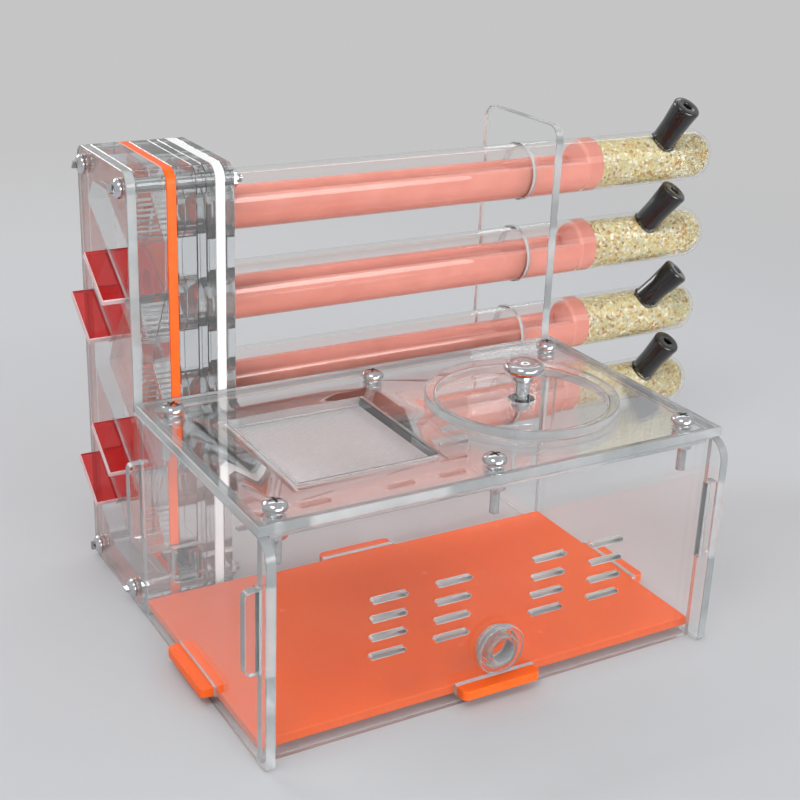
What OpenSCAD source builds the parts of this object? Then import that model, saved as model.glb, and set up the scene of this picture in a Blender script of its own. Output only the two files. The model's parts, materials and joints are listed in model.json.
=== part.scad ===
// Ant habitat: a clear foraging box, a bolted stack of plates with a zigzag
// ramp and four slide-in gates, and four nest tubes in plaster.
// X runs along the tubes, Y towards the back, Z up.  Millimetres.
// The modules draw from the box's front, left, lower corner; place() moves
// everything so that the footprint's centre is at the origin.

/* [Sheet] */
// thickness of the clear and orange sheet
sheet_t = 4; // [3:0.5:6]
// gap between a tab and its slot, all round
slot_gap = 0.1; // [0.05:0.05:0.3]
// how far the tabs stand out of the walls
tab_out = 5; // [2:0.5:8]

/* [Foraging box] */
// outer length of the box along X
box_l = 200; // [160:5:260]
// front wall's outer face to back wall's outer face
box_d = 116.5; // [90:0.5:160]
// height of the walls
box_h = 90; // [60:1:130]
// how far the side plates stand in front of the front wall
lip = 6; // [2:0.5:12]
// radius of the side plates' upper front corner
lip_r = 9; // [3:0.5:15]
// underside of the floor above the table
floor_z = 4; // [2:0.5:15]
// width of the floor's four tabs
floor_tab = 35; // [15:1:60]
// lower end of the walls' upright tabs
wall_tab_z = 37; // [10:1:60]
// height of the walls' upright tabs
wall_tab_h = 33; // [15:1:45]
// radius of the tabs' outer corners
tab_r = 2.5; // [0.5:0.5:4]

/* [Vent slots] */
// slot length
vent_l = 14.4; // [8:0.2:25]
// slot height
vent_h = 1.6; // [1:0.1:2.5]
// lowest row above the table
vent_z = 31.2; // [15:0.2:50]
// height from one row to the next
vent_pitch = 7.7; // [5:0.1:12]
// inner columns, from the middle of the box
vent_in = 21.3; // [15:0.1:35]
// outer columns, from the middle of the box
vent_out = 48.4; // [38:0.1:80]

/* [Lid] */
// how far the lid reaches behind the back wall
lid_over = 0.7; // [0:0.1:1.5]
// gap between the locating plate and the walls
locate_gap = 0.6; // [0.3:0.1:2]
// thickness of the locating plate under the lid
locate_t = 3; // [2:0.5:4]
// screws from the lid's ends
screw_in_x = 11; // [8:0.5:20]
// front screws from the lid's front edge
screw_in_y = 11; // [8:0.5:20]
// back screws from the lid's back edge
screw_back_y = 12.5; // [8:0.5:20]
// square vent window, along X
window_x = 57.6; // [40:0.2:70]
// square vent window, along Y
window_y = 61.4; // [40:0.2:75]
// left edge of the window
window_x0 = 26.6; // [20:0.2:40]
// middle of the window in front of the box's middle
window_fwd = 1.95; // [0:0.05:5]
// how far the locating plate reaches under the window all round
ledge = 4; // [3.5:0.5:8]
// how far the mesh reaches under the lid all round
mesh_lap = 3; // [1:0.5:3]
// gap round the mesh in its recess
mesh_gap = 0.2; // [0.1:0.1:0.4]
// mesh wires each way
mesh_n = 17; // [8:1:30]
// thickness of the mesh
mesh_t = 0.8; // [0.4:0.1:1.5]

/* [Round cover] */
// diameter of the cover
cover_d = 79; // [50:1:90]
// diameter of the hole that it closes
cover_hole_d = 71; // [40:1:80]
// gap between the cover's plug and the hole
cover_gap = 0.5; // [0.3:0.1:2]
// centre of the cover from the box's right end
cover_in = 58; // [45:0.5:65]
// centre of the cover in front of the box's middle
cover_fwd = 2.75; // [0:0.05:5]
// diameter of the knob
knob_d = 16.5; // [10:0.5:25]
// height of the knob
knob_h = 14; // [8:0.5:22]

/* [Fasteners] */
// thread diameter of bolts and screws
thread_d = 4; // [3:0.5:5]
// gap round a thread in its hole
thread_gap = 0.2; // [0.1:0.05:0.5]
// head diameter of the lid's screws
screw_head_d = 9.4; // [7:0.2:11]
// head height of the lid's screws
screw_head_h = 3.2; // [2:0.1:4]
// length of the lid's screws under the head
screw_len = 20; // [12:1:30]
// head diameter of the stack's bolts
bolt_head_d = 8; // [7:0.2:11]
// head height of the stack's bolts
bolt_head_h = 2.8; // [2:0.1:4]
// how far the stack's bolts stand out of the last plate
bolt_over = 5.5; // [4:0.5:10]
// nut, across the flats
nut_af = 7; // [6.5:0.5:9]
// height of a nut
nut_h = 3.2; // [2:0.1:4]
// diameter of the cover's washer
washer_d = 11; // [9:0.5:14]
// thickness of the cover's washer
washer_t = 1; // [0.5:0.1:2]

/* [Tower] */
// gap between the box and the stack
tower_gap = 2; // [1:0.1:3.5]
// depth of the stack
tower_w = 58; // [50:1:80]
// top of the stack above the top tube's axis
tower_over = 21.6; // [19:0.1:40]
// radius of the plates' corners
tower_r = 6; // [2:0.5:12]
// thickness of the ramp plate
ramp_t = 12; // [8:1:20]
// thickness of the passage plate
passage_t = 8; // [5:1:12]
// bolts from the plates' edges
bolt_in = 7.3; // [6:0.1:10]

/* [Gates] */
// slope of gates and ramps above level, degrees
ramp_slope = 35; // [25:1:45]
// middle of the front gates from the stack's front edge
gate_front = 16.5; // [15:0.5:18]
// middle of the back gates from the stack's front edge
gate_back = 35.5; // [33:0.5:37]
// middle of the front gates below their tube's axis
front_drop = 17.6; // [16:0.1:19]
// middle of the back gates below their tube's axis
back_drop = 0.4; // [0:0.1:2]
// how much lower the upper two gates lie under their tubes
upper_drop = 5.2; // [4:0.1:6]
// length of a gate along the slope
gate_l = 25; // [18:0.5:30]
// thickness of a gate
gate_t = 3; // [2:0.5:4]
// gap round a gate in its slot
gate_gap = 0.3; // [0.3:0.05:0.6]
// how far a shut gate stands out
gate_out = 9; // [5:0.5:15]
// pitch of the teeth on the ramps
tooth_pitch = 2.9; // [2:0.1:5]
// depth of the teeth
tooth_d = 1.5; // [0.8:0.1:3]

/* [Ramp] */
// wall in front of the channel
channel_front = 5; // [4:0.5:6]
// wall behind the channel
channel_back = 9; // [7:0.5:11]
// length of the lowest toothed ceiling
low_ceiling = 18.5; // [12:0.5:20]
// length of the middle toothed ceiling
mid_ceiling = 32; // [24:0.5:34]
// length of the top toothed ceiling
top_ceiling = 27.5; // [18:0.5:30]
// lower end of the middle ceiling above the gate below it
mid_gap = 21.5; // [18:0.5:23]
// lower end of the top ceiling above the gate below it
top_gap = 24; // [20:0.5:26]
// radius of the holes from the channel into the nests
nest_hole_r = 7; // [5:0.5:8]

/* [Tubes] */
// outer diameter of a tube
tube_d = 25; // [20:0.5:30]
// glass thickness
glass_t = 1.3; // [0.8:0.1:2]
// height from one tube to the next
tube_pitch = 39; // [32:0.5:45]
// axis of the lowest tube above the doorway
tube_low = 18.9; // [18:0.1:30]
// closed end of the tubes along X
tube_end = 308; // [240:1:360]
// gap round a tube in the plates
tube_gap = 0.35; // [0.3:0.05:0.6]
// gap round a tube in the soft gasket
grip_gap = 0.05; // [0.01:0.01:0.1]
// left face of the plaster disc
disc_x = 228; // [180:1:250]
// thickness of the plaster disc
disc_t = 9; // [3:0.5:12]
// edge of the plaster trough above the tube's axis
trough_top = 3.3; // [0:0.1:6]
// radius of the hollow in the trough
trough_r = 6.7; // [4:0.1:8]
// gap between the glass and what fills it
fill_gap = 0.1; // [0.05:0.05:0.3]
// air over the sand
sand_air = 1.5; // [0.5:0.1:4]
// top of the right plate, which carries the tubes, above the top tube's axis
rest_over = 25.6; // [20:0.1:50]

/* [Stoppers] */
// diameter of a stopper in the glass
stop_d = 11.8; // [8:0.2:13]
// how much wider a stopper is at its outer end
stop_flare = 1.6; // [0:0.1:1.8]
// gap round a stopper in the glass
stop_gap = 0.05; // [0.01:0.01:0.1]
// where a stopper's axis meets the tube's axis, as a rule
stop_x = 270; // [255:1:275]
// lean of the stoppers towards the closed end, degrees
stop_lean = 18; // [10:1:20]
// roll of the stoppers towards the front, so that each clears the tube above it, degrees
stop_roll = 31; // [31:1:45]
// outer end of a stopper from the tube's axis
stop_top = 32.5; // [26:0.5:40]
// inner end of a stopper from the tube's axis
stop_in = 8.5; // [6:0.5:10]
// where a stopper starts to widen, from the tube's axis
stop_wide = 20; // [20:0.5:24]
// diameter of the hole in a stopper's outer end
stop_hole_d = 4.4; // [2:0.2:6]
// depth of that hole
stop_hole_l = 5; // [2:0.5:12]

/* [Ports] */
// diameter of the front port's flange
port_d = 20.5; // [18.5:0.5:26]
// thickness of the flange
flange_t = 2.5; // [1.5:0.5:4]
// bore of the front port
port_bore = 13; // [8:0.5:14]
// wall of the port's bush
bush_t = 1.6; // [1:0.1:2]
// how far the bush reaches into the box
bush_in = 2; // [1:0.5:6]
// gap between the port's plug and its bore
plug_gap = 0.05; // [0.01:0.01:0.1]
// wall of the hollow plug
plug_t = 1.65; // [1:0.05:3]
// how far the plug stands out of the flange
plug_proud = 1.2; // [0.5:0.1:3]
// height of the port's axis
port_z = 20.7; // [19.5:0.1:24]
// height of the doorway's lower edge
door_z = 12.5; // [8.5:0.5:30]
// height of the doorway
door_h = 16; // [10:0.5:24]
// wall of the doorway's sleeve
sleeve_t = 1.4; // [1:0.1:2]
// depth of the doorway in the stack
door_in = 22; // [18:0.5:24]

/* [Hidden] */
$fn = 64;
e = 0.02;
box_mid = box_l / 2;
wall_in = box_d - sheet_t;
lid_d = box_d + lid_over;
tower_y0 = box_d + tower_gap;
lid_z = box_h;
lid_top = lid_z + sheet_t;
loc_z = lid_z - locate_t;
cut_r = thread_d / 2 + thread_gap;
// left face of every plate in the stack
x_ramp = sheet_t;
x_orange = x_ramp + ramp_t;
x_pass = x_orange + sheet_t;
x_mouth = x_pass + passage_t;
x_sock = x_mouth + sheet_t;
x_gask = x_sock + sheet_t;
x_tube = x_gask + sheet_t;
x_end = x_tube + sheet_t;
tower_y1 = tower_y0 + tower_w;
tube_y = tower_y0 + tower_w / 2 - 0.2;
tube_z = [for (i = [3:-1:0]) door_z + door_h + tube_low + i * tube_pitch];
tower_h = tube_z[0] + tower_over;
rest_h = tube_z[0] + rest_over;
cover_x = box_l - cover_in;
cover_y = box_d / 2 - cover_fwd;
window_y0 = box_d / 2 - window_fwd - window_y / 2;
tube_r = tube_d / 2;
tube_ri = tube_r - glass_t;
bolt_yz = [for (y = [tower_y0 + bolt_in, tower_y1 - bolt_in], z = [bolt_in, tower_h - bolt_in]) [y, z]];
// ramp and gate directions in the plate's plane (Y, Z)
sv = [cos(ramp_slope), sin(ramp_slope)];
nv = [-sin(ramp_slope), cos(ramp_slope)];
// middle of gates 1 (top) to 4
gate_c = [for (i = [0:3]) [tower_y0, tube_z[i] - (i < 2 ? upper_drop : 0)]
          + (i % 2 == 0 ? [gate_front, -front_drop] : [gate_back, -back_drop])];
gate_b = [for (c = gate_c) c - sv * gate_l / 2];
gate_a = [for (c = gate_c) c + sv * gate_l / 2];
// where each nest opens from the ramp, top first
nest_yz = [[tube_y, tube_z[0] - 1.4], [tube_y - 3.4, tube_z[1] + 5.2],
           [tube_y, tube_z[2] + 1.1], [tube_y - 2, tube_z[3] + 10.4]];
// the sleeve reaches this far into the stack
sleeve_in = 4;
door_x = x_orange;
door_w = sheet_t + passage_t;
cover_seat = lid_top;
row_x0 = -gate_out;
row_y0 = -lip;
row_cx = (row_x0 + tube_end) / 2;
row_cy = (row_y0 + tower_y1) / 2;
clear_c = [0.86, 0.93, 0.95, 0.35];
orange_c = [1, 0.42, 0.1];
red_c = [0.85, 0.1, 0.1, 0.7];
steel_c = [0.75, 0.76, 0.78];
plaster_c = [0.93, 0.55, 0.45];

module place() { translate([-row_cx, -row_cy, 0]) children(); }
// a flat shape drawn in (Y, Z), t thick from x
module plate_x(x, t) { translate([x, 0, 0]) rotate([90, 0, 90]) linear_extrude(t) children(); }
// a flat shape drawn in (X, Z), t thick from y
module plate_y(y, t) { translate([0, y + t, 0]) rotate([90, 0, 0]) linear_extrude(t) children(); }
module plate_z(z, t) { translate([0, 0, z]) linear_extrude(t) children(); }
// takes a square corner at p off to radius r; q says which way the plate lies
module corner_off(p, r, q) {
  translate(p) difference() {
    translate([q[0] > 0 ? -e : -r, q[1] > 0 ? -e : -r]) square(r + e);
    translate([q[0] * r, q[1] * r]) circle(r);
  }
}
module at_bolts() { for (b = bolt_yz) translate(b) children(); }
module at_tubes() { for (i = [0:3]) translate([tube_y, tube_z[i]]) children(); }
// rectangle from p to q with its corners taken off where wanted
module box2(p, q) { translate(p) square([q[0] - p[0], q[1] - p[1]]); }
// a slot with its gap round a tab that fills the rectangle from p to q
module slot2(p, q) { box2(p - [slot_gap, slot_gap], q + [slot_gap, slot_gap]); }
// the slot for a floor tab whose middle is at m along the wall
module floor_slot(m) { slot2([m - floor_tab / 2, floor_z], [m + floor_tab / 2, floor_z + sheet_t]); }
module round2(p, q, r) {
  difference() {
    box2(p, q);
    corner_off(p, r, [1, 1]);
    corner_off([q[0], p[1]], r, [-1, 1]);
    corner_off(q, r, [-1, -1]);
    corner_off([p[0], q[1]], r, [1, -1]);
  }
}

// ---- side plates: each is one sheet, low beside the box and tall behind it
module side_shape(h) {
  difference() {
    union() {
      box2([-lip, 0], [tower_y0 + e, box_h]);
      box2([tower_y0, 0], [tower_y1, h]);
    }
    corner_off([-lip, box_h], lip_r, [1, -1]);
    corner_off([-lip, 0], 2, [1, 1]);
    corner_off([tower_y1, 0], tower_r, [-1, 1]);
    corner_off([tower_y0, h], tower_r, [1, -1]);
    corner_off([tower_y1, h], tower_r, [-1, -1]);
    for (y = [0, wall_in]) slot2([y, wall_tab_z], [y + sheet_t, wall_tab_z + wall_tab_h]);
    floor_slot(box_d / 2);
  }
}
module gate_shape(i, g) {
  translate(gate_c[i]) rotate(ramp_slope) square([gate_l + 2 * g, gate_t + 2 * g], center = true);
}
module left_side_plate() {
  color(clear_c) place() plate_x(0, sheet_t) difference() {
    side_shape(tower_h);
    at_bolts() circle(cut_r);
    for (i = [0:3]) gate_shape(i, gate_gap);
  }
}
module right_side_plate() {
  color(clear_c) place() plate_x(box_l - sheet_t, sheet_t) difference() {
    side_shape(rest_h);
    at_tubes() circle(tube_r + tube_gap);
  }
}

// ---- front and back walls, with upright tabs, vent slots and the floor's slot
module vents() {
  for (x = [-vent_out, -vent_in, vent_in, vent_out], k = [0:3])
    translate([box_mid + x, vent_z + k * vent_pitch]) {
      square([vent_l - vent_h, vent_h], center = true);
      for (s = [-1, 1]) translate([s * (vent_l - vent_h) / 2, 0]) circle(vent_h / 2, $fn = 16);
    }
}
module wall_shape() {
  difference() {
    union() {
      box2([sheet_t, 0], [box_l - sheet_t, box_h]);
      round2([-tab_out, wall_tab_z], [box_l + tab_out, wall_tab_z + wall_tab_h], tab_r);
    }
    vents();
    floor_slot(box_mid);
  }
}
module front_wall() {
  color(clear_c) place() plate_y(0, sheet_t) difference() {
    wall_shape();
    translate([box_mid, port_z]) circle(port_bore / 2 + bush_t + slot_gap);
  }
}
module back_wall() {
  color(clear_c) place() plate_y(wall_in, sheet_t) difference() {
    wall_shape();
    box2([door_x, door_z], [door_x + door_w, door_z + door_h]);
  }
}
module floor_plate() {
  color(orange_c) place() plate_z(floor_z, sheet_t) {
    box2([sheet_t, sheet_t], [box_l - sheet_t, wall_in]);
    round2([-tab_out, box_d / 2 - floor_tab / 2], [box_l + tab_out, box_d / 2 + floor_tab / 2], tab_r);
    round2([box_mid - floor_tab / 2, -tab_out], [box_mid + floor_tab / 2, box_d + tab_out], tab_r);
  }
}
// the port's own frame: +Z out of the front wall
module on_port() { place() translate([box_mid, 0, port_z]) rotate([90, 0, 0]) children(); }
module front_port() {
  color(clear_c) on_port() difference() {
    union() {
      cylinder(d = port_d, h = flange_t);
      translate([0, 0, -sheet_t - bush_in]) cylinder(r = port_bore / 2 + bush_t, h = sheet_t + bush_in + e);
    }
    translate([0, 0, -sheet_t - bush_in - 1]) cylinder(d = port_bore, h = sheet_t + bush_in + flange_t + 2);
  }
}
module port_plug() {
  r = port_bore / 2 - plug_gap;
  color(clear_c) on_port() difference() {
    translate([0, 0, -sheet_t]) cylinder(r = r, h = sheet_t + flange_t + plug_proud);
    translate([0, 0, -sheet_t + plug_t]) cylinder(r = r - plug_t, h = sheet_t + flange_t + plug_proud);
  }
}
module door_sleeve() {
  color(clear_c) place() plate_y(wall_in, tower_y0 + sleeve_in - wall_in) difference() {
    box2([door_x + slot_gap, door_z + slot_gap], [door_x + door_w - slot_gap, door_z + door_h - slot_gap]);
    box2([door_x + slot_gap + sleeve_t, door_z + slot_gap + sleeve_t],
      [door_x + door_w - slot_gap - sleeve_t, door_z + door_h - slot_gap - sleeve_t]);
  }
}

// ---- the bolted stack
module stack_shape() { round2([tower_y0, 0], [tower_y1, tower_h], tower_r); }
// points of a saw-toothed ceiling, from its upper end down to its lower end p
function teeth(p, n) = concat([for (k = [n:-1:1], s = [0, 1])
  p + (s == 0 ? sv * k * tooth_pitch : sv * (k - 0.9) * tooth_pitch - nv * tooth_d)], [p]);
ramp_y0 = tower_y0 + channel_front;
ramp_y1 = tower_y1 - channel_back;
ramp_rise = tan(ramp_slope);
// the three toothed ceilings: number of teeth and lower end
low_n = floor(low_ceiling / tooth_pitch);
low_p = gate_b[3] - sv * low_n * tooth_pitch;
mid_n = floor(mid_ceiling / tooth_pitch);
mid_p = [ramp_y0, gate_b[2][1] + mid_gap];
top_n = floor(top_ceiling / tooth_pitch);
top_p = [ramp_y0 - 1, gate_b[0][1] + top_gap];
top_q = top_p + sv * top_n * tooth_pitch;
// where a gate's line, carried on, meets the back of the channel
function back_of(i) = [ramp_y1, gate_a[i][1] + ramp_rise * (ramp_y1 - gate_a[i][0])];
// the channel's outline: up along the back, then down along the toothed side
module ramp_space() {
  polygon(concat(
    [[low_p[0], door_z + 2], [ramp_y1 - 14, door_z + 2], [ramp_y1, door_z + 12], [ramp_y1, gate_a[3][1] - 2]],
    [gate_a[3], gate_a[2], back_of(2), [ramp_y1, gate_a[1][1] - 6]],
    [gate_a[1], gate_a[0], back_of(0), [ramp_y1 - 7, top_q[1]]],
    teeth(top_p, top_n), [gate_b[0], gate_b[1]],
    teeth(mid_p, mid_n), [gate_b[2]],
    teeth(low_p, low_n)));
  box2([tower_y0 - e, door_z + 2], [low_p[0] + e, door_z + door_h - 2]);
}
module ramp_plate() {
  color(clear_c) place() plate_x(x_ramp, ramp_t) difference() {
    stack_shape();
    ramp_space();
    for (i = [0:3]) gate_shape(i, gate_gap);
    at_bolts() circle(cut_r);
  }
}
module doorway_in() { box2([tower_y0 - e, door_z], [tower_y0 + door_in, door_z + door_h]); }
module orange_plate() {
  color(orange_c) place() plate_x(x_orange, sheet_t) difference() {
    stack_shape();
    for (n = nest_yz) translate(n) circle(nest_hole_r);
    doorway_in();
    at_bolts() circle(cut_r);
  }
}
module passage_plate() {
  color(clear_c) place() plate_x(x_pass, passage_t) difference() {
    stack_shape();
    for (i = [0:3]) {
      translate(nest_yz[i]) circle(nest_hole_r + 1);
      translate([tube_y, tube_z[i]]) circle(tube_ri);
    }
    doorway_in();
    at_bolts() circle(cut_r);
  }
}
module mouth_plate() {
  color(clear_c) place() plate_x(x_mouth, sheet_t) difference() {
    stack_shape();
    at_tubes() circle(tube_ri - 1);
    at_bolts() circle(cut_r);
  }
}
module holed_plate(x, r, c) {
  color(c) place() plate_x(x, sheet_t) difference() {
    stack_shape();
    at_tubes() circle(r);
    at_bolts() circle(cut_r);
  }
}
module socket_plate() { holed_plate(x_sock, tube_r + tube_gap, clear_c); }
module gasket_plate() { holed_plate(x_gask, tube_r + grip_gap, [0.95, 0.95, 0.95]); }
module tube_plate() { holed_plate(x_tube, tube_r + tube_gap, clear_c); }

// ---- screws: a low round head with a cross recess, drawn with the head up
module screw(head_d, head_h, len) {
  cross_l = head_d * 0.48;
  cross_w = head_d * 0.09;
  difference() {
    union() {
      rotate_extrude() polygon([[0, 0], [head_d / 2, 0], [head_d / 2, head_h * 0.3],
        [head_d * 0.44, head_h * 0.66], [head_d * 0.3, head_h * 0.93], [head_d * 0.16, head_h], [0, head_h]]);
      translate([0, 0, -len]) cylinder(d = thread_d, h = len + e);
    }
    for (a = [0, 90]) rotate(a)
      translate([-cross_l / 2, -cross_w / 2, head_h * 0.4]) cube([cross_l, cross_w, head_h]);
  }
}
module nut() {
  difference() {
    cylinder(d = nut_af / cos(30), h = nut_h, $fn = 6);
    translate([0, 0, -1]) cylinder(d = thread_d + e, h = nut_h + 2);
  }
}
module tower_bolts() {
  color(steel_c) place() for (b = bolt_yz) translate([0, b[0], b[1]])
    rotate([0, -90, 0]) screw(bolt_head_d, bolt_head_h, x_end + bolt_over);
}
module tower_nuts() {
  color(steel_c) place() for (b = bolt_yz) translate([x_end, b[0], b[1]]) rotate([0, 90, 0]) nut();
}

// ---- lid
module at_screws() {
  for (x = [screw_in_x, box_mid, box_l - screw_in_x], y = [screw_in_y, lid_d - screw_back_y])
    translate([x, y]) children();
}
window_a = [window_x0, window_y0];
window_b = [window_x0 + window_x, window_y0 + window_y];
mesh_seat = [mesh_lap + mesh_gap, mesh_lap + mesh_gap];
module lid_plate() {
  color(clear_c) place() plate_z(lid_z, sheet_t) difference() {
    box2([0, 0], [box_l, lid_d]);
    box2(window_a, window_b);
    translate([cover_x, cover_y]) circle(d = cover_hole_d);
    at_screws() circle(cut_r);
  }
}
module lid_locating_plate() {
  g = sheet_t + locate_gap;
  color(clear_c) place() difference() {
    plate_z(loc_z, locate_t) difference() {
      box2([g, g], [box_l - g, wall_in - locate_gap]);
      box2(window_a + [ledge, ledge], window_b - [ledge, ledge]);
      translate([cover_x, cover_y]) circle(d = cover_hole_d);
      at_screws() circle(cut_r);
    }
    plate_z(lid_z - mesh_t, mesh_t + 1) box2(window_a - mesh_seat, window_b + mesh_seat);
  }
}
module vent_mesh() {
  mesh_open = 0.56;
  px = window_x / mesh_n;
  py = window_y / mesh_n;
  color(steel_c) place() plate_z(lid_z - mesh_t, mesh_t) difference() {
    box2(window_a - [mesh_lap, mesh_lap], window_b + [mesh_lap, mesh_lap]);
    for (i = [0:mesh_n - 1], j = [0:mesh_n - 1])
      translate(window_a + [(i + 0.5) * px, (j + 0.5) * py]) square([px, py] * mesh_open, center = true);
  }
}
module lid_screws() {
  color(steel_c) place() at_screws() translate([0, 0, lid_top]) screw(screw_head_d, screw_head_h, screw_len);
}
module lid_nuts() {
  color(steel_c) place() at_screws() translate([0, 0, loc_z - nut_h]) nut();
}

// ---- round cover: a disc with a smaller disc below that drops into the hole
module round_cover() {
  color(clear_c) place() translate([cover_x, cover_y, cover_seat]) difference() {
    union() {
      cylinder(d = cover_d, h = sheet_t);
      translate([0, 0, -sheet_t]) cylinder(d = cover_hole_d - 2 * cover_gap, h = sheet_t + e);
    }
    translate([0, 0, -sheet_t - 1]) cylinder(d = thread_d + 2 * thread_gap, h = 3 * sheet_t);
  }
}
module cover_knob() {
  k = knob_d / 2;
  stud = 2 * sheet_t + washer_t + nut_h;
  color(steel_c) place() translate([cover_x, cover_y, cover_seat + sheet_t]) {
    rotate_extrude() polygon([[0, 0], [k * 0.72, 0], [k * 0.72, knob_h * 0.09], [k * 0.56, knob_h * 0.13],
      [k * 0.4, knob_h * 0.24], [k * 0.38, knob_h * 0.42], [k * 0.55, knob_h * 0.52],
      [k * 0.93, knob_h * 0.57], [k, knob_h * 0.66], [k * 0.98, knob_h * 0.76],
      [k * 0.82, knob_h * 0.9], [k * 0.5, knob_h * 0.98], [k * 0.2, knob_h], [0, knob_h]]);
    translate([0, 0, -stud]) cylinder(d = thread_d, h = stud + e);
  }
}
module cover_nut() {
  color(steel_c) place() translate([cover_x, cover_y, cover_seat - sheet_t - washer_t - nut_h]) {
    nut();
    translate([0, 0, nut_h]) difference() {
      cylinder(d = washer_d, h = washer_t);
      translate([0, 0, -1]) cylinder(d = thread_d + thread_gap, h = washer_t + 2);
    }
  }
}

// ---- gates: red plates that slide in along X
module gate(i) {
  color(red_c) place() plate_x(-gate_out, gate_out + x_orange - gate_gap) gate_shape(i, 0);
}
module gate_1() { gate(0); }
module gate_2() { gate(1); }
module gate_3() { gate(2); }
module gate_4() { gate(3); }

// ---- tubes, each with its plaster, sand and stopper
module bullet(r, x0, x1) {
  translate([x0, 0, 0]) rotate([0, 90, 0]) cylinder(r = r, h = x1 - r - x0);
  translate([x1 - r, 0, 0]) sphere(r, $fn = 64);
}
module on_tube(i) { place() translate([0, tube_y, tube_z[i]]) children(); }
// every stopper sits a little differently: shift and lean, top tube first
stop_vary = [[4, -9], [-3, 1], [0, 11], [6, -5]];
// the stopper's own frame: +Z out of the glass
module on_stop(i) {
  v = stop_vary[i];
  translate([stop_x + v[0], 0, 0]) rotate([stop_roll, 0, 0]) rotate([0, stop_lean + v[1], 0]) children();
}
module glass(i) {
  color(clear_c) on_tube(i) difference() {
    bullet(tube_r, x_sock, tube_end);
    translate([-1, 0, 0]) bullet(tube_ri, x_sock, tube_end - glass_t + 1);
    on_stop(i) cylinder(r = stop_d / 2 + stop_gap, h = stop_top);
  }
}
module plaster(i) {
  r = tube_ri - fill_gap;
  x0 = x_sock + 1;
  color(plaster_c) on_tube(i) difference() {
    translate([x0, 0, 0]) rotate([0, 90, 0]) cylinder(r = r, h = disc_x + disc_t - x0);
    translate([x_sock, -tube_r, trough_top]) cube([disc_x - x_sock, tube_d, tube_d]);
    translate([x_sock, 0, trough_top]) rotate([0, 90, 0]) cylinder(r = trough_r, h = disc_x - x_sock);
  }
}
module sand(i) {
  x0 = disc_x + disc_t + fill_gap;
  color([0.93, 0.87, 0.62]) on_tube(i) difference() {
    bullet(tube_ri - fill_gap, x0, tube_end - glass_t - fill_gap);
    on_stop(i) translate([0, 0, stop_in - 0.5]) cylinder(r = stop_d / 2 + 0.5, h = stop_top);
    translate([x0 - 1, -tube_r, tube_ri - sand_air]) cube([tube_end - x0, tube_d, tube_r]);
  }
}
module stopper(i) {
  r = stop_d / 2;
  w = r + stop_flare / 2;
  b = 0.8;
  color([0.08, 0.08, 0.08]) on_tube(i) on_stop(i) difference() {
    rotate_extrude() polygon([[0, stop_in], [r - b, stop_in], [r, stop_in + b], [r, stop_wide],
      [w, stop_top - b], [w - b, stop_top], [0, stop_top]]);
    translate([0, 0, stop_top - stop_hole_l]) cylinder(d = stop_hole_d, h = stop_hole_l + 1);
  }
}
module glass_1() { glass(0); }
module glass_2() { glass(1); }
module glass_3() { glass(2); }
module glass_4() { glass(3); }
module plaster_1() { plaster(0); }
module plaster_2() { plaster(1); }
module plaster_3() { plaster(2); }
module plaster_4() { plaster(3); }
module sand_1() { sand(0); }
module sand_2() { sand(1); }
module sand_3() { sand(2); }
module sand_4() { sand(3); }
module stopper_1() { stopper(0); }
module stopper_2() { stopper(1); }
module stopper_3() { stopper(2); }
module stopper_4() { stopper(3); }

left_side_plate();
right_side_plate();
front_wall();
back_wall();
floor_plate();
ramp_plate();
orange_plate();
passage_plate();
mouth_plate();
socket_plate();
gasket_plate();
tube_plate();
tower_bolts();
tower_nuts();
door_sleeve();
front_port();
port_plug();
lid_plate();
lid_locating_plate();
vent_mesh();
lid_screws();
lid_nuts();
round_cover();
cover_knob();
cover_nut();
gate_1();
gate_2();
gate_3();
gate_4();
glass_1();
glass_2();
glass_3();
glass_4();
plaster_1();
plaster_2();
plaster_3();
plaster_4();
sand_1();
sand_2();
sand_3();
sand_4();
stopper_1();
stopper_2();
stopper_3();
stopper_4();
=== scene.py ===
import json
import math

import bmesh
import bpy
from mathutils import Matrix, Vector


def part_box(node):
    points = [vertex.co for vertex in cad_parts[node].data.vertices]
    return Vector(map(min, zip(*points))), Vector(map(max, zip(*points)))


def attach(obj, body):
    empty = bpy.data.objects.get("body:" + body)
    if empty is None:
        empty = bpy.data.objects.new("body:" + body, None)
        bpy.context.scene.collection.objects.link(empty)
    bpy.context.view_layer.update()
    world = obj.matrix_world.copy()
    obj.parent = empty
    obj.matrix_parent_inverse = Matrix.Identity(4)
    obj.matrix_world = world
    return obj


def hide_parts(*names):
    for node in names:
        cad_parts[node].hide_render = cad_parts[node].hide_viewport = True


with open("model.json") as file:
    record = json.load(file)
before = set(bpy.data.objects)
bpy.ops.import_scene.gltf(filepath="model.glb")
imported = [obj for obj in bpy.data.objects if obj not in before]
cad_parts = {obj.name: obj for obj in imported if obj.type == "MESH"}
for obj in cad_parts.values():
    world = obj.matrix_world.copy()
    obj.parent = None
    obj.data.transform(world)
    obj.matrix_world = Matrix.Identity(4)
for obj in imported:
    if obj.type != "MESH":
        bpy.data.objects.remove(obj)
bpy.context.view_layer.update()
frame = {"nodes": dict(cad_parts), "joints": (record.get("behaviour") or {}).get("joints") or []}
nodes = frame["nodes"]
scene = bpy.context.scene
MM = 0.001                # the frame is in metres


# ----------------------------------------------------------------- side plates
# Two clear sheets, low beside the box and tall behind it, laser cut from 4 mm
# acrylic: polished faces, and cut edges that are frosted and catch the light.

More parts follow.
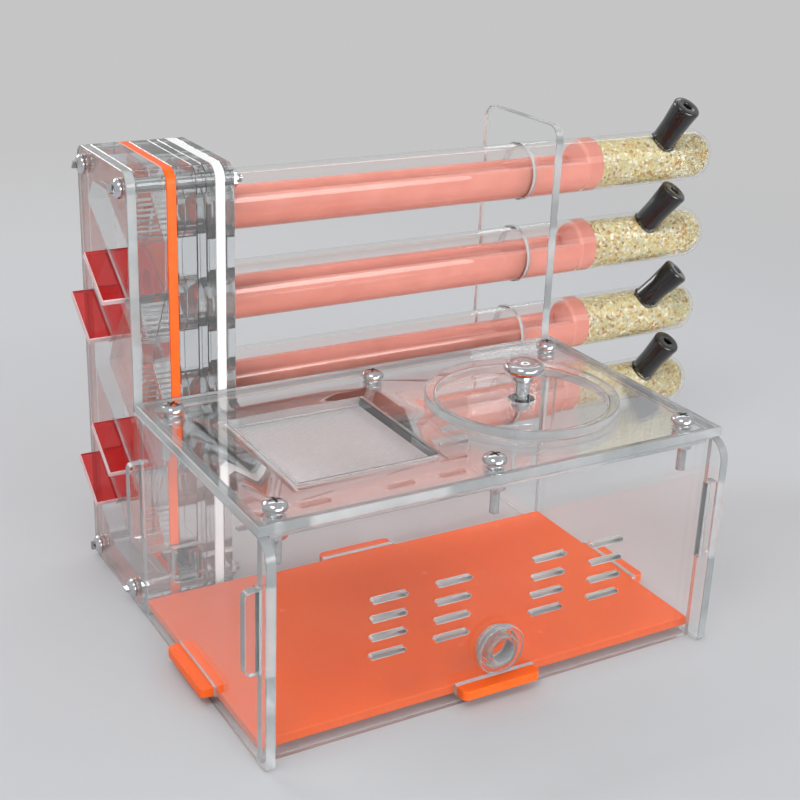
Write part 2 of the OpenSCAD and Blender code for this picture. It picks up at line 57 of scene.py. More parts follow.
class Link:
    """One output of a node; arithmetic on it adds Math nodes to its tree."""

    def __init__(self, maker, socket):
        self.maker, self.socket = maker, socket

    def math(self, operation, a, b):
        return self.maker.node("ShaderNodeMath", {"operation": operation}, {0: a, 1: b})

    def __add__(self, other):
        return self.math("ADD", self, other)

    def __radd__(self, other):
        return self.math("ADD", other, self)

    def __sub__(self, other):
        return self.math("SUBTRACT", self, other)

    def __rsub__(self, other):
        return self.math("SUBTRACT", other, self)

    def __mul__(self, other):
        return self.math("MULTIPLY", self, other)

    def __rmul__(self, other):
        return self.math("MULTIPLY", other, self)

    def __truediv__(self, other):
        return self.math("DIVIDE", self, other)

    def __rtruediv__(self, other):
        return self.math("DIVIDE", other, self)


class Maker:
    """Adds nodes to one tree, of a material or of Geometry Nodes."""

    def __init__(self, tree):
        self.tree = tree

    def node(self, kind, settings=None, sockets=None, out=0):
        """A node of this type: its settings first, then its sockets; gives the output named."""
        made = self.tree.nodes.new(kind)
        for name, value in (settings or {}).items():
            if name == "stops":
                ramp = made.color_ramp
                while len(ramp.elements) < len(value):
                    ramp.elements.new(1.0)
                for element, (place, colour) in zip(ramp.elements, value):
                    element.position, element.color = place, (*colour, 1)
            else:
                setattr(made, name, value)
        for name, value in (sockets or {}).items():
            self.feed(made.inputs[name], value)
        return Link(self, made.outputs[out])

    def feed(self, socket, value):
        if isinstance(value, Link):
            self.tree.links.new(value.socket, socket)
        else:
            socket.default_value = value


class Finish(Maker):
    """A material: constants go straight on the Principled shader's sockets."""

    def __init__(self, name, **constants):
        self.material = bpy.data.materials.new(name)
        self.material.use_nodes = True
        super().__init__(self.material.node_tree)
        self.shader = self.tree.nodes["Principled BSDF"]
        for socket, value in constants.items():
            self.set(socket.replace("_", " "), value)

    def set(self, socket, value):
        self.feed(self.shader.inputs[socket], value)

    def place(self, stretch=(1, 1, 1)):
        """The spot on the object, in metres, with each axis stretched."""
        where = self.node("ShaderNodeTexCoord", out="Object")
        return self.node("ShaderNodeMapping", None, {"Vector": where, "Scale": stretch})

    def noise(self, size, detail=2.0, stretch=(1, 1, 1)):
        return self.node("ShaderNodeTexNoise", None,
                         {"Vector": self.place(stretch), "Scale": 1 / size, "Detail": detail})

    def blend(self, mask, low, high):
        return self.node("ShaderNodeMix", {"data_type": "RGBA"}, {0: mask, 6: low, 7: high}, out=2)

    def bump(self, height, depth, strength=1.0):
        self.set("Normal", self.node("ShaderNodeBump", None,
                                     {"Height": height, "Distance": depth, "Strength": strength}))

    def let_lamps_through(self, tint):
        """A see-through piece casts no black shadow: the lamps reach what is behind it."""
        shadow = self.node("ShaderNodeLightPath", out="Is Shadow Ray")
        bare = self.node("ShaderNodeBsdfTransparent", None, {"Color": tint})
        looks = Link(self, self.shader.outputs[0])
        both = self.node("ShaderNodeMixShader", None, {0: shadow, 1: looks, 2: bare})
        self.feed(self.tree.nodes["Material Output"].inputs["Surface"], both)


def linear(r, g, b):
    """A colour as the eye names it (0 to 255), in the renderer's linear scale."""
    def one(c):
        c /= 255
        return c / 12.92 if c <= 0.04045 else ((c + 0.055) / 1.055) ** 2.4
    return one(r), one(g), one(b), 1


ACRYLIC_IOR = 1.49
SHADE_OF_CLEAR = (0.98, 0.985, 0.985, 1)   # what a clear wall leaves of a lamp's light


def clear_face(name, tint):
    """Polished clear acrylic with faint wiping marks."""
    f = Finish(name, Base_Color=tint, Transmission_Weight=1.0, IOR=ACRYLIC_IOR)
    smear = f.noise(22 * MM, 3.0, (1, 1, 0.4))
    f.set("Roughness", smear * 0.03)
    f.let_lamps_through(SHADE_OF_CLEAR)
    return f.material


def cut_edge(name, dull, bright, clearness, rough=0.28):
    """A cut edge: more or less frosted, with the fine lines that the tool leaves."""
    f = Finish(name, Transmission_Weight=clearness, IOR=ACRYLIC_IOR)
    lines = f.noise(0.5 * MM, 2.0)
    cloud = f.noise(9 * MM, 2.0)
    f.set("Base Color", f.blend(cloud, dull, bright))
    f.set("Roughness", rough + cloud * rough * 0.7)
    f.bump(lines, 0.05 * MM, 2 * rough)
    return f.material


CLEAR = clear_face("clear acrylic", linear(254, 255, 255))
CLEAR_EDGE = cut_edge("frosted cut edge", linear(196, 200, 202), linear(232, 236, 237), 0.6, 0.14)
SHEET_AIR = 0.03 * MM     # sheets that are pressed together still keep a film of air
SHEET_BEVEL = 0.3 * MM
WELD = 0.002 * MM         # corners nearer than this are one
LEVEL = 0.01 * MM         # corners nearer than this to a plane lie in it
FLAT = 0.95               # the least cosine between a flat face's normal and its axis
SHARP = 0.6               # edges that turn by more than this, in radians, are broken
COPLANAR = 0.01           # and those that turn by less are left out


def welded(node):
    """A copy of a CAD node's mesh, its loose triangles joined."""
    shape = bmesh.new()
    shape.from_mesh(nodes[node].data)
    bmesh.ops.remove_doubles(shape, verts=shape.verts, dist=WELD)
    return shape


def outline(node, axis):
    """The loops round a sheet's lower face across the axis, holes among them."""
    shape = welded(node)
    low = min(v.co[axis] for v in shape.verts)
    face = {f for f in shape.faces if all(abs(v.co[axis] - low) < LEVEL for v in f.verts)}
    rim = {}
    for edge in shape.edges:
        if sum(f in face for f in edge.link_faces) == 1:
            for v in edge.verts:
                rim.setdefault(v, []).append(edge)
    across, up = (axis + 1) % 3, (axis + 2) % 3
    loops, seen = [], set()
    for start in rim:
        if start in seen:
            continue
        loop, here = [], start
        while here not in seen:
            seen.add(here)
            loop.append((here.co[across], here.co[up]))
            ends = [e.other_vert(here) for e in rim[here]]
            here = next((v for v in ends if v not in seen), start)
        loops.append(loop)
    shape.free()
    return loops


def finish_mesh(name, mesh, body, materials, replaced=(), angle=35):
    """Links a mesh as one visible piece, smooth but for its sharp edges."""
    mesh.name = name
    which = [f.material_index for f in mesh.polygons]
    mesh.materials.clear()
    for material in materials:
        mesh.materials.append(material)
    mesh.polygons.foreach_set("material_index", which)
    mesh.shade_smooth()
    mesh.set_sharp_from_angle(angle=math.radians(angle))
    piece = bpy.data.objects.new(name, mesh)
    scene.collection.objects.link(piece)
    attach(piece, body)
    if replaced:
        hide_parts(*replaced)
    return piece


def mesh_of(thing):
    """The thing as it looks with its modifiers, as a plain mesh; the thing goes."""
    if thing.name not in scene.collection.objects:
        scene.collection.objects.link(thing)
    bpy.context.view_layer.update()
    looks = thing.evaluated_get(bpy.context.evaluated_depsgraph_get())
    made = bpy.data.meshes.new_from_object(looks)
    bpy.data.objects.remove(thing)
    return made


def sheet(node, axis, body, face, edge, bevel=SHEET_BEVEL):
    """Replaces a flat node by the same sheet, drawn anew from its outline, with its edges broken."""
    low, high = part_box(node)
    thick = high[axis] - low[axis] - 2 * SHEET_AIR
    curve = bpy.data.curves.new(node, "CURVE")
    curve.dimensions, curve.fill_mode = "2D", "BOTH"
    curve.extrude, curve.bevel_depth, curve.offset = thick / 2 - bevel, bevel, -bevel
    curve.bevel_resolution = 0
    for loop in outline(node, axis):
        spline = curve.splines.new("POLY")
        spline.points.add(len(loop) - 1)
        spline.use_cyclic_u = True
        for point, (a, b) in zip(spline.points, loop):
            point.co = (a, b, 0, 1)
    mesh = mesh_of(bpy.data.objects.new(node + "_line", curve))
    shape = bmesh.new()
    shape.from_mesh(mesh)
    bmesh.ops.remove_doubles(shape, verts=shape.verts, dist=WELD / 2)
    bmesh.ops.recalc_face_normals(shape, faces=shape.faces)
    for f in shape.faces:
        f.material_index = 0 if abs(f.normal.z) > FLAT else 1
    middle = (low[axis] + high[axis]) / 2
    for v in shape.verts:
        a, b, c = v.co
        spot = [0, 0, 0]
        spot[(axis + 1) % 3], spot[(axis + 2) % 3], spot[axis] = a, b, c + middle
        v.co = spot
    shape.to_mesh(mesh)
    shape.free()
    return finish_mesh(node + "_sheet", mesh, body, [face, edge], [node])


def broken(name, node, body, face, edge, bevel=SHEET_BEVEL):
    """Replaces a node by a copy with its edges broken and all but its broad faces frosted."""
    shape = welded(node)
    bmesh.ops.dissolve_limit(shape, angle_limit=COPLANAR, verts=shape.verts, edges=shape.edges)
    broad = max(shape.faces, key=lambda f: f.calc_area()).normal.copy()
    corners = [e for e in shape.edges if e.calc_face_angle(0) > SHARP]
    bmesh.ops.bevel(shape, geom=corners, offset=bevel, segments=1, profile=0.5, affect="EDGES")
    bmesh.ops.recalc_face_normals(shape, faces=shape.faces)
    for f in shape.faces:
        f.material_index = 0 if abs(f.normal.dot(broad)) > FLAT else 1
    mesh = bpy.data.meshes.new(name)
    shape.to_mesh(mesh)
    shape.free()
    return finish_mesh(name, mesh, body, [face, edge], [node])


X, Y, Z = 0, 1, 2
for plate in ("left_side_plate", "right_side_plate"):
    sheet(plate, X, "housing", CLEAR, CLEAR_EDGE)


# -------------------------------------------------------- front and back walls
# The same clear sheet, held by tabs that stand out through the side plates.
# The vent slots are cut right through, and their edges are frosted too.

THIN_BEVEL = 0.2 * MM     # finer, for the sides of the narrow slots
for wall in ("front_wall", "back_wall"):
    sheet(wall, Y, "housing", CLEAR, CLEAR_EDGE, THIN_BEVEL)


# ----------------------------------------------------------------------- floor
# Opaque orange acrylic, glossy on top and duller where it is cut.  Its four
# tabs stand out through slots in the walls and the side plates and carry it.

def orange_face(name):
    """Glossy orange acrylic, its surface not quite even."""
    f = Finish(name, IOR=ACRYLIC_IOR, Specular_IOR_Level=0.25)
    cloud = f.noise(35 * MM, 3.0)
    f.set("Base Color", f.blend(cloud, linear(254, 92, 14), linear(255, 104, 24)))
    f.set("Roughness", 0.16 + f.noise(6 * MM, 4.0) * 0.16)
    f.bump(f.noise(1.3 * MM, 2.0), 0.01 * MM, 0.25)
    return f.material


def orange_edge(name):
    """The same sheet where it is cut, a little lighter and duller."""
    f = Finish(name, IOR=ACRYLIC_IOR, Specular_IOR_Level=0.3)
    cloud = f.noise(4 * MM, 2.0)
    f.set("Base Color", f.blend(cloud, linear(252, 94, 18), linear(255, 112, 38)))
    f.set("Roughness", 0.3 + cloud * 0.2)
    f.bump(f.noise(0.5 * MM, 2.0), 0.05 * MM, 0.5)
    return f.material


ORANGE = orange_face("orange acrylic")
ORANGE_EDGE = orange_edge("orange cut edge")
sheet("floor_plate", Z, "housing", ORANGE, ORANGE_EDGE)


# ------------------------------------------------------------- stack of plates
# Seven sheets bolted together behind the left side plate: the thick clear one
# with the toothed zigzag, orange backing, passages, and the tubes' holders.

def gasket_face(name):
    """White soft foam sheet, faintly grained."""
    f = Finish(name, IOR=1.45)
    grain = f.noise(0.6 * MM, 3.0)
    f.set("Base Color", f.blend(grain, linear(236, 238, 238), linear(250, 251, 251)))
    f.set("Roughness", 0.55 + grain * 0.2)
    f.bump(grain, 0.08 * MM, 0.4)
    return f.material


GASKET = gasket_face("white gasket")
POLISHED_EDGE = cut_edge("polished cut edge", linear(226, 231, 232), linear(246, 249, 250), 0.9, 0.03)
for plate in ("ramp_plate", "passage_plate", "mouth_plate", "socket_plate", "tube_plate"):
    sheet(plate, X, "housing", CLEAR, POLISHED_EDGE)
sheet("orange_plate", X, "housing", ORANGE, ORANGE_EDGE)
sheet("gasket_plate", X, "housing", GASKET, GASKET)


# --------------------------------------------------------------------- doorway
# A clear rectangular sleeve that leads the ants from the box into the stack.
# It is pushed into the back wall and the plates, and shown as the CAD has it.

sleeve_slots = nodes["door_sleeve"].data.materials
sleeve_slots.clear()
sleeve_slots.append(CLEAR)


# --------------------------------------------------------------- turned pieces
# The front port with its plug, and the round cover, are turned from clear
# acrylic; each is one closed profile swept round its axis.

ON_AXIS = 1e-7            # a radius below this, in metres, is a point on the axis
MOST_CUT = 0.4            # a corner's cut takes at most this share of its side


def lathe(profile, turns=64):
    """A mesh swept round +Z from (radius, height) points that go up the outside."""
    shape = bmesh.new()
    rings = []
    for radius, height in profile:
        if radius < ON_AXIS:
            rings.append([shape.verts.new((0, 0, height))])
        else:
            rings.append([shape.verts.new((radius * math.cos(a), radius * math.sin(a), height))
                          for a in (2 * math.pi * k / turns for k in range(turns))])
    hollow = profile[0][0] > ON_AXIS or profile[-1][0] > ON_AXIS
    pairs = list(zip(rings, rings[1:])) + ([(rings[-1], rings[0])] if hollow else [])
    for low, high in pairs:
        for k in range(turns):
            j = (k + 1) % turns
            ring = [low[k % len(low)], low[j % len(low)], high[j % len(high)], high[k % len(high)]]
            ring = [v for i, v in enumerate(ring) if v not in ring[:i]]
            if len(ring) > 2:
                shape.faces.new(ring)
    bmesh.ops.recalc_face_normals(shape, faces=shape.faces)
    mesh = bpy.data.meshes.new("turned")
    shape.to_mesh(mesh)
    shape.free()
    return mesh


def eased(points, cut):
    """The profile with each corner that is off the axis cut short, so that it catches light."""
    out = []
    for k, here in enumerate(points):
        here = Vector(here)
        if k in (0, len(points) - 1) and here.x < ON_AXIS:
            out.append(tuple(here))
            continue
        for other in (Vector(points[k - 1]), Vector(points[(k + 1) % len(points)])):
            way = other - here
            out.append(tuple(here + way.normalized() * min(cut, way.length * MOST_CUT)))
    return out


def scaled(points):
    """A profile given in millimetres."""
    return [(r * MM, z * MM) for r, z in points]


def frost_rims(mesh):
    """The turned faces of a clear piece take the second finish, its flat ones the first."""
    for f in mesh.polygons:
        f.material_index = 0 if abs(f.normal.z) > FLAT else 1


def towards(direction, spot):
    """The place of a turned piece: its +Z along the direction, its base at the spot."""
    return Matrix.Translation(spot) @ Vector(direction).to_track_quat("Z", "Y").to_matrix().to_4x4()


CLEAR_RIM = cut_edge("frosted round edge", linear(206, 211, 213), linear(236, 240, 241), 0.72, 0.16)
TURNED_BEVEL = 0.35 * MM
# the corner that the maker measures from: left plate, front wall, table
home = Vector((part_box("left_side_plate")[0].x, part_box("front_wall")[0].y, 0))
port_low, port_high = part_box("front_port")
port_axis = Vector(((port_low.x + port_high.x) / 2, home.y, (port_low.z + port_high.z) / 2))
flange_r = (port_high.x - port_low.x) / 2 / MM
flange_out = (home.y - port_low.y) / MM
bush_in = (port_high.y - home.y) / MM
BORE_R, BUSH_R, SEAT_AIR = 6.5, 8.1, 0.03   # profiles are in millimetres
port = lathe(eased(scaled([(BORE_R, -bush_in), (BUSH_R, -bush_in), (BUSH_R, SEAT_AIR), (flange_r, SEAT_AIR),
                           (flange_r, flange_out), (BORE_R, flange_out)]), TURNED_BEVEL))
frost_rims(port)
port.transform(towards((0, -1, 0), port_axis))
finish_mesh("port_ring", port, "housing", [CLEAR, CLEAR_RIM], ["front_port"])

plug_low, plug_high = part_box("port_plug")
plug_r = (plug_high.x - plug_low.x) / 2 / MM
plug_out = (home.y - plug_low.y) / MM
plug_in = (plug_high.y - home.y) / MM
CUP_WALL = 1.65
cup_r, cup_floor = plug_r - CUP_WALL, CUP_WALL - plug_in
plug = lathe(eased(scaled([(0, -plug_in), (plug_r, -plug_in), (plug_r, plug_out), (cup_r, plug_out),
                           (cup_r, cup_floor), (0, cup_floor)]), SHEET_BEVEL))
frost_rims(plug)
plug.transform(towards((0, -1, 0), port_axis))
finish_mesh("port_stopper", plug, "front_plug", [CLEAR, CLEAR_RIM], ["port_plug"])


# ------------------------------------------------------------------------- lid
# A clear sheet over a thinner one that drops between the walls; between them,
# under the square window, a fine woven metal mesh is clamped.

RIM_DEEP = 8 * MM         # cut edges further in are the window's and the holes', and polished
lid_sheet = sheet("lid_plate", Z, "lid", CLEAR, CLEAR_EDGE).data
lid_sheet.materials.append(POLISHED_EDGE)
lid_low, lid_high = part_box("lid_plate")
for f in lid_sheet.polygons:
    from_rim = min(min(f.center[i] - lid_low[i], lid_high[i] - f.center[i]) for i in (X, Y))
    if f.material_index == 1 and from_rim > RIM_DEEP:
        f.material_index = 2
broken("lid_locating_sheet", "lid_locating_plate", "lid", CLEAR, CLEAR_EDGE, THIN_BEVEL)


def steel(name, colour, rough, grain):
    """Bright steel with fine polishing marks."""
    f = Finish(name, Metallic=1.0)
    marks = f.noise(grain, 3.0)
    f.set("Base Color", f.blend(marks, colour, linear(226, 227, 229)))
    f.set("Roughness", rough + marks * 0.12)
    f.bump(marks, 0.01 * MM, 0.3)
    return f.material


STEEL = steel("polished steel", linear(184, 186, 190), 0.09, 1.2 * MM)
WIRE = steel("woven wire", linear(240, 240, 241), 0.35, 2 * MM)


class Growth(Maker):
    """A Geometry Nodes tree, with its named inputs, run once on an object."""

    def __init__(self, name, inputs):
        tree = bpy.data.node_groups.new(name, "GeometryNodeTree")
        super().__init__(tree)
        face = tree.interface
        face.new_socket("Geometry", in_out="INPUT", socket_type="NodeSocketGeometry")
        self.keys = {}
        for label, (kind, value) in inputs.items():
            socket = face.new_socket(label, in_out="INPUT", socket_type=kind)
            self.keys[label] = (socket.identifier, value)
        face.new_socket("Geometry", in_out="OUTPUT", socket_type="NodeSocketGeometry")
        self.start = tree.nodes.new("NodeGroupInput")
        self.end = tree.nodes.new("NodeGroupOutput")

    def given(self, label):
        return Link(self, self.start.outputs[label])

    def finish(self, geometry, material):
        plain = self.node("GeometryNodeRealizeInstances", None, {"Geometry": geometry})
        dressed = self.node("GeometryNodeSetMaterial", None, {"Geometry": plain, "Material": material})
        self.tree.links.new(dressed.socket, self.end.inputs["Geometry"])

    def run(self, mesh, **values):
        """The mesh that the tree makes of this one, with these values in its inputs."""
        thing = bpy.data.objects.new(self.tree.name, mesh)
        modifier = thing.modifiers.new("grow", "NODES")
        modifier.node_group = self.tree
        for label, (key, value) in self.keys.items():
            modifier[key] = values.get(label, value)
        return mesh_of(thing)


CRIMP = 0.46              # how far a wire waves from its middle, as a share of its thickness


def weave_tree():
    """Wires laid side by side, each waving over and under its crossing wires."""
    g = Growth("weave", {"Length": ("NodeSocketFloat", 0.06), "Pitch": ("NodeSocketFloat", 0.001),
                         "Wires": ("NodeSocketInt", 10), "Wire": ("NodeSocketFloat", 0.0002)})
    length, pitch, wire = g.given("Length"), g.given("Pitch"), g.given("Wire")
    crossings = g.node("ShaderNodeMath", {"operation": "ROUND"}, {0: length / pitch})
    step = g.node("ShaderNodeCombineXYZ", None, {"X": pitch * 0.5})
    line = g.node("GeometryNodeMeshLine", None, {"Count": crossings * 2.0 + 1.0, "Offset": step})
    place = g.node("GeometryNodeInputPosition")
    along = g.node("ShaderNodeSeparateXYZ", None, {0: place}, out="X")
    wave = g.node("ShaderNodeMath", {"operation": "COSINE"}, {0: along * math.pi / pitch}) * wire * CRIMP
    lifted = g.node("GeometryNodeSetPosition", None, {
        "Geometry": line, "Offset": g.node("ShaderNodeCombineXYZ", None, {"Z": wave})})
    path = g.node("GeometryNodeMeshToCurve", None, {"Mesh": lifted})
    section = g.node("GeometryNodeCurvePrimitiveCircle", None, {"Resolution": 4, "Radius": wire * 0.5})
    strand = g.node("GeometryNodeCurveToMesh", None, {"Curve": path, "Profile Curve": section})
    rows = g.node("GeometryNodeMeshLine", None, {
        "Count": g.given("Wires"), "Offset": g.node("ShaderNodeCombineXYZ", None, {"Y": pitch})})
    number = g.node("GeometryNodeInputIndex")
    odd = g.node("ShaderNodeMath", {"operation": "MODULO"}, {0: number, 1: 2.0})
    mirrored = g.node("ShaderNodeCombineXYZ", None, {"X": 1.0, "Y": 1.0, "Z": 1.0 - odd * 2.0})
    laid = g.node("GeometryNodeInstanceOnPoints", None,
                  {"Points": rows, "Instance": strand, "Scale": mirrored})
    g.finish(laid, WIRE)
    return g


MESH_TRIM = Vector((1.7, 1.7, 0)) * MM   # the cloth is cut this much smaller than its recess
MESH_MIDDLE = 0.4 * MM    # height of its middle over its underside
mesh_low, mesh_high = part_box("vent_mesh")
mesh_low, mesh_high = mesh_low + MESH_TRIM, mesh_high - MESH_TRIM
mesh_span = mesh_high - mesh_low
WEAVE_PITCH = 0.86 * MM
WEAVE_WIRE = 0.38 * MM
weave = weave_tree()
woven = bmesh.new()
middle = mesh_low + Vector((mesh_span.x / 2, mesh_span.y / 2, MESH_MIDDLE))
for across, span in ((0, mesh_span), (1, Vector((mesh_span.y, mesh_span.x, 0)))):
    wires = weave.run(bpy.data.meshes.new("empty"), Length=span.x, Pitch=WEAVE_PITCH,
                      Wires=int(span.y / WEAVE_PITCH), Wire=WEAVE_WIRE)
    half = Vector((int(span.x / WEAVE_PITCH + 0.5), int(span.y / WEAVE_PITCH) - 1, 0)) * WEAVE_PITCH / 2
    turned = Matrix.Rotation(math.pi / 2 * across, 4, "Z") @ Matrix.Scale(-1 if across else 1, 4, (0, 0, 1))
    wires.transform(Matrix.Translation(middle) @ turned @ Matrix.Translation(-half))
    woven.from_mesh(wires)
bmesh.ops.recalc_face_normals(woven, faces=woven.faces)
cloth = bpy.data.meshes.new("weave")
woven.to_mesh(cloth)
woven.free()
finish_mesh("woven_vent", cloth, "lid", [WIRE], ["vent_mesh"], angle=60)


# ------------------------------------------------------------- screws and nuts
# M4 button-head screws with a cross recess, rolled threads and hexagon nuts,
# bright steel.  Six clamp the lid's two sheets, four bolt the stack.

THREAD_PITCH, THREAD_R, THREAD_DEEP = 0.7 * MM, 1.95 * MM, 0.3 * MM
THREAD_PLAY = 0.08 * MM   # a nut's bore over the thread
RECESS_W = 0.9 * MM       # width of the cross recess
NUT_ACROSS, NUT_H, NUT_CHAMFER = 7 * MM, 3.2 * MM, 0.35 * MM


def threaded(length, sides=16):
    """A rolled thread down from z = 0, its radius rising and falling once a pitch."""
    steps_a_pitch = 4
    shape = bmesh.new()
    count = int(length / THREAD_PITCH * steps_a_pitch) + 1
    rings = []
    for i in range(count + 1):
        z = -length * i / count
        ring = []
        for k in range(sides):
            phase = (z / THREAD_PITCH + k / sides) % 1.0
            r = THREAD_R - THREAD_DEEP * (1 - abs(2 * phase - 1)) * (0 if i in (0, count) else 1)
            a = 2 * math.pi * k / sides
            ring.append(shape.verts.new((r * math.cos(a), r * math.sin(a), z)))
        rings.append(ring)
    for up, down in zip(rings, rings[1:]):
        for k in range(sides):
            shape.faces.new([up[k], down[k], down[(k + 1) % sides], up[(k + 1) % sides]])
    shape.faces.new(rings[0])
    shape.faces.new(rings[-1])
    bmesh.ops.recalc_face_normals(shape, faces=shape.faces)
    return shape


def cut_away(mesh, blades):
    """The mesh less the blades, each a closed mesh."""
    body = bpy.data.objects.new("body", mesh)
    cutters = [bpy.data.objects.new("blade", blade) for blade in blades]
    for cutter in cutters:
        scene.collection.objects.link(cutter)
        cut = body.modifiers.new("cut", "BOOLEAN")
        cut.operation, cut.object, cut.solver = "DIFFERENCE", cutter, "EXACT"
    left = mesh_of(body)
    for cutter in cutters:
        bpy.data.objects.remove(cutter)
    return left


def screw_mesh(head_d, head_h, length):
    """Button head with its cross recess, and the thread below it."""
    r = head_d / 2
    button = [(0, 0), (0.97, 0), (1, 0.08), (1, 0.28), (0.96, 0.45), (0.86, 0.68), (0.7, 0.85), (0.5, 0.96),
              (0.25, 1), (0, 1)]
    head = lathe([(r * a, head_h * b) for a, b in button], 40)
    arm, deep = r * 0.95, head_h * 1.1
    blades = []
    for turn in (0, math.pi / 2):
        blade = bmesh.new()
        spot = Matrix.Translation((0, 0, head_h)) @ Matrix.Rotation(turn, 4, "Z")
        bmesh.ops.create_cube(blade, size=1, matrix=spot @ Matrix.Diagonal((arm, RECESS_W, deep, 1)))
        blades.append(bpy.data.meshes.new("blade"))
        blade.to_mesh(blades[-1])
        blade.free()
    mesh = cut_away(head, blades)
    shape = threaded(length)
    shape.from_mesh(mesh)
    shape.to_mesh(mesh)
    shape.free()
    return mesh


def nut_mesh():
    """Hexagon nut with its corners chamfered and its bore open."""
    sides = 48
    shape = bmesh.new()
    rings = []
    # rings up the outside, each a hexagon cut by a circle of this share of its width; then the bore
    for z, limit in ((0, 0.5), (NUT_CHAMFER, 0.58), (NUT_H - NUT_CHAMFER, 0.58), (NUT_H, 0.5),
                     (NUT_H, None), (0, None)):
        ring = []
        for k in range(sides):
            a = 2 * math.pi * k / sides
            hexagon = NUT_ACROSS / 2 / math.cos((a + math.pi / 6) % (math.pi / 3) - math.pi / 6)
            r = min(hexagon, NUT_ACROSS * limit) if limit else THREAD_R + THREAD_PLAY
            ring.append(shape.verts.new((r * math.cos(a), r * math.sin(a), z)))
        rings.append(ring)
    for low, up in zip(rings, rings[1:] + rings[:1]):
        for k in range(sides):
            shape.faces.new([low[k], low[(k + 1) % sides], up[(k + 1) % sides], up[k]])
    bmesh.ops.recalc_face_normals(shape, faces=shape.faces)
    mesh = bpy.data.meshes.new("nut")
    shape.to_mesh(mesh)
    shape.free()
    return mesh


def solid_boxes(node):
    """The lowest and highest corner of each separate solid of a node."""
    shape = welded(node)
    left, found = set(shape.verts), []
    while left:
        group, front = set(), [left.pop()]
        while front:
            v = front.pop()
            group.add(v)
            for e in v.link_edges:
                other = e.other_vert(v)
                if other in left:
                    left.discard(other)
                    front.append(other)
        found.append(tuple(Vector([end(v.co[i] for v in group) for i in range(3)]) for end in (min, max)))
    shape.free()
    return sorted(found, key=lambda pair: tuple(pair[0]))


SPIN = 2.4                # each next fastener stopped this much further round, in radians


def repeat_tree(material):
    """One prototype set on every point, turned by the given angles and spun about its own axis."""
    g = Growth("set out", {"Prototype": ("NodeSocketObject", None),
                           "Turn": ("NodeSocketVector", (0, 0, 0))})
    points = g.node("GeometryNodeMeshToPoints", None, {"Mesh": g.given("Geometry")})
    shape = g.node("GeometryNodeObjectInfo", None, {"Object": g.given("Prototype")}, out="Geometry")
    angle = g.node("FunctionNodeEulerToRotation", None, {0: g.given("Turn")})
    number = g.node("GeometryNodeInputIndex")
    spun = g.node("FunctionNodeAxisAngleToRotation", None, {"Axis": (0, 0, 1), "Angle": number * SPIN})
    both = g.node("FunctionNodeRotateRotation", {"rotation_space": "LOCAL"}, {"Rotation": angle, 1: spun})
    laid = g.node("GeometryNodeInstanceOnPoints", None,
                  {"Points": points, "Instance": shape, "Rotation": both})
    g.finish(laid, material)
    return g


def set_out(name, node, body, prototype, spots, turn=(0, 0, 0)):
    """Puts a fastener at each spot and makes them one piece."""
    points = bpy.data.meshes.new("spots")
    points.from_pydata([tuple(s) for s in spots], [], [])
    model = bpy.data.objects.new("prototype", prototype)
    scene.collection.objects.link(model)
    mesh = repeat_tree(STEEL).run(points, Prototype=model, Turn=turn)
    bpy.data.objects.remove(model)
    finish_mesh(name, mesh, body, [STEEL], [node], angle=32)


lid_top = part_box("lid_plate")[1].z
screws = solid_boxes("lid_screws")
screw_low, screw_high = screws[0]
set_out("lid_button_screws", "lid_screws", "lid",
        screw_mesh(screw_high.x - screw_low.x, screw_high.z - lid_top, lid_top - screw_low.z),
        [((a.x + b.x) / 2, (a.y + b.y) / 2, lid_top) for a, b in screws])
set_out("lid_hex_nuts", "lid_nuts", "lid", nut_mesh(),
        [((a.x + b.x) / 2, (a.y + b.y) / 2, a.z) for a, b in solid_boxes("lid_nuts")])
plate_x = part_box("left_side_plate")[0].x
bolts = solid_boxes("tower_bolts")
bolt_low, bolt_high = bolts[0]
set_out("stack_bolts", "tower_bolts", "housing",
        screw_mesh(bolt_high.z - bolt_low.z, plate_x - bolt_low.x, bolt_high.x - plate_x),
        [(plate_x, (a.y + b.y) / 2, (a.z + b.z) / 2) for a, b in bolts], (0, -math.pi / 2, 0))
set_out("stack_hex_nuts", "tower_nuts", "housing", nut_mesh(),
        [(a.x, (a.y + b.y) / 2, (a.z + b.z) / 2) for a, b in solid_boxes("tower_nuts")],
        (0, math.pi / 2, 0))


# ----------------------------------------------------------------- round cover
# A clear disc with a smaller one below it that drops into the lid's hole, and
# a polished steel knob on it, turned like a mushroom and held by a nut below.

cover_low, cover_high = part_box("round_cover")
cover_spot = Vector(((cover_low.x + cover_high.x) / 2, (cover_low.y + cover_high.y) / 2, lid_top))
cover_r = (cover_high.x - cover_low.x) / 2 / MM
PLUG_R, COVER_T, STUD_HOLE_R = 35, 4, 2.2
cover = lathe(eased(scaled([(STUD_HOLE_R, -COVER_T), (PLUG_R, -COVER_T), (PLUG_R, 0), (cover_r, 0),
                            (cover_r, COVER_T), (STUD_HOLE_R, COVER_T)]), TURNED_BEVEL), 128)
frost_rims(cover)
cover.transform(Matrix.Translation(cover_spot))
finish_mesh("round_cover_disc", cover, "cover", [CLEAR, CLEAR_RIM], ["round_cover"])

